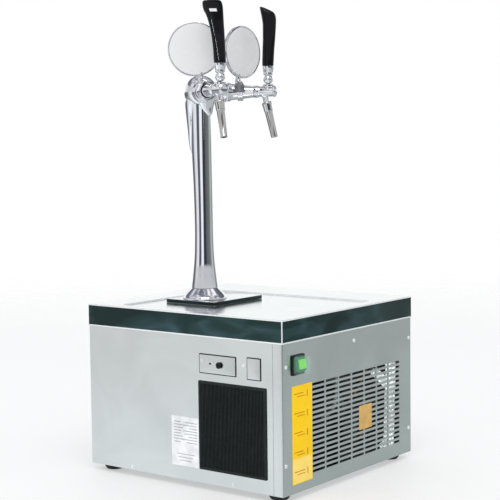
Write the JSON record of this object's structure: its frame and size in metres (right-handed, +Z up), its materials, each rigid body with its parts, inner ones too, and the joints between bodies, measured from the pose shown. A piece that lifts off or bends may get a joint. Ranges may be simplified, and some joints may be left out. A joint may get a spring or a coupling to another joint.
{
  "type": "countertop beer dispenser with tap tower",
  "caption": "Chrome column tap tower with lever taps and round medallions, bolted on a steel countertop beer cooler with louvred sides and rubber feet.",
  "frame": {"origin": "bottom centre of the whole object's box, on the surface the feet stand on", "axes": "+Z up, -Y the front that the taps face, +X to the right seen from the front along +Y"},
  "size_m": [0.4312, 0.481, 0.8729],
  "materials": {
    "steel": "brushed",
    "polished_steel": "polished",
    "chrome": "mirror",
    "black_plastic": "gloss",
    "rubber": "matte",
    "green_lens": "translucent gloss",
    "clear_plastic": "clear gloss",
    "white_enamel": "gloss",
    "copper": "satin",
    "foam": "matte",
    "line_plastic": "satin",
    "dark_metal": "satin",
    "label_white": "satin",
    "label_yellow": "satin",
    "label_tan": "satin"
  },
  "bodies": {
    "cabinet": {"base_plate": "steel", "front_panel": "steel", "left_panel": "steel", "right_panel": "steel", "rear_panel": "steel", "control_plate": "steel", "tower_plate": "steel", "tower_nut": "steel", "tank_lid": "steel", "beer_inlet_left": "steel", "beer_inlet_right": "steel", "product_coil_left": "steel", "product_coil_right": "steel", "top_tray": "polished_steel", "tower_flange": "chrome", "tower_column": "chrome", "tower_head": "chrome", "shank_left": "chrome", "shank_right": "chrome", "medallion_bracket_left": "chrome", "medallion_bracket_right": "chrome", "tap_body_left": "chrome", "tap_body_right": "chrome", "tap_cap_left": "chrome", "tap_cap_right": "chrome", "nozzle_left": "chrome", "nozzle_right": "chrome", "air_grille": "black_plastic", "switch_frame": "black_plastic", "power_inlet": "black_plastic", "foot_front_left": "rubber", "foot_front_right": "rubber", "foot_rear_left": "rubber", "foot_rear_right": "rubber", "switch_cover": "clear_plastic", "evaporator_coil": "copper", "water_tank": "foam", "beer_line_left": "line_plastic", "beer_line_right": "line_plastic", "clamp_screw_left": "dark_metal", "clamp_screw_right": "dark_metal", "condenser": "dark_metal", "thermostat_body": "dark_metal", "agitator_motor": "dark_metal", "compressor": "dark_metal", "fan_motor": "dark_metal"},
    "lever_left": {"lever_left": "chrome", "handle_left": "black_plastic"},
    "lever_right": {"lever_right": "chrome", "handle_right": "black_plastic"},
    "plunger_left": {"valve_plunger_left": "black_plastic"},
    "plunger_right": {"valve_plunger_right": "black_plastic"},
    "medallion_left": {"medallion_shell_left": "chrome", "medallion_face_left": "white_enamel"},
    "medallion_right": {"medallion_shell_right": "chrome", "medallion_face_right": "white_enamel"},
    "thermostat": {"thermostat_knob": "black_plastic"},
    "rocker": {"switch_rocker": "green_lens"},
    "fan": {"fan_wheel": "black_plastic"},
    "agitator": {"agitator_propeller": "steel"}
  },
  "joints": [
    {"name": "tap_lever_left", "type": "hinge", "parent": "cabinet", "child": "lever_left", "pos_m": [-0.12975, -0.0325, 0.734], "axis": [0.9272, -0.3746, 0], "range_deg": [-8, 25]},
    {"name": "valve_plunger_left", "type": "slide", "parent": "cabinet", "child": "plunger_left", "axis": [0.3746, 0.9272, 0], "range_m": [-0.003, 0.0095]},
    {"name": "medallion_left", "type": "hinge", "parent": "cabinet", "child": "medallion_left", "pos_m": [-0.11175, 0.0255, 0.7367], "axis": [0, 0, 1], "range_deg": [-20, 60]},
    {"name": "tap_lever_right", "type": "hinge", "parent": "cabinet", "child": "lever_right", "pos_m": [0.01425, -0.0325, 0.734], "axis": [0.9272, 0.3746, 0], "range_deg": [-8, 25]},
    {"name": "valve_plunger_right", "type": "slide", "parent": "cabinet", "child": "plunger_right", "axis": [-0.3746, 0.9272, 0], "range_m": [-0.003, 0.0095]},
    {"name": "medallion_right", "type": "hinge", "parent": "cabinet", "child": "medallion_right", "pos_m": [-0.00375, 0.0255, 0.7367], "axis": [0, 0, 1], "range_deg": [-20, 60]},
    {"name": "thermostat_turn", "type": "hinge", "parent": "cabinet", "child": "thermostat", "pos_m": [-0.21055, -0.087, 0.228], "axis": [-1, 0, 0], "range_deg": [-135, 135]},
    {"name": "switch_rock", "type": "hinge", "parent": "cabinet", "child": "rocker", "pos_m": [-0.1645, -0.2185, 0.2355], "axis": [1, 0, 0], "range_deg": [0, 16]},
    {"name": "fan_spin", "type": "hinge", "parent": "cabinet", "child": "fan", "pos_m": [-0.14375, -0.1125, 0.116], "axis": [-1, 0, 0], "continuous": true},
    {"name": "agitator_spin", "type": "hinge", "parent": "cabinet", "child": "agitator", "pos_m": [0.00225, 0.1055, 0.15], "axis": [0, 0, 1], "continuous": true}
  ],
  "couplings": [
    {"joint": "valve_plunger_left", "follows": "tap_lever_left", "m_per_rad": 0.021},
    {"joint": "valve_plunger_right", "follows": "tap_lever_right", "m_per_rad": 0.021}
  ]
}
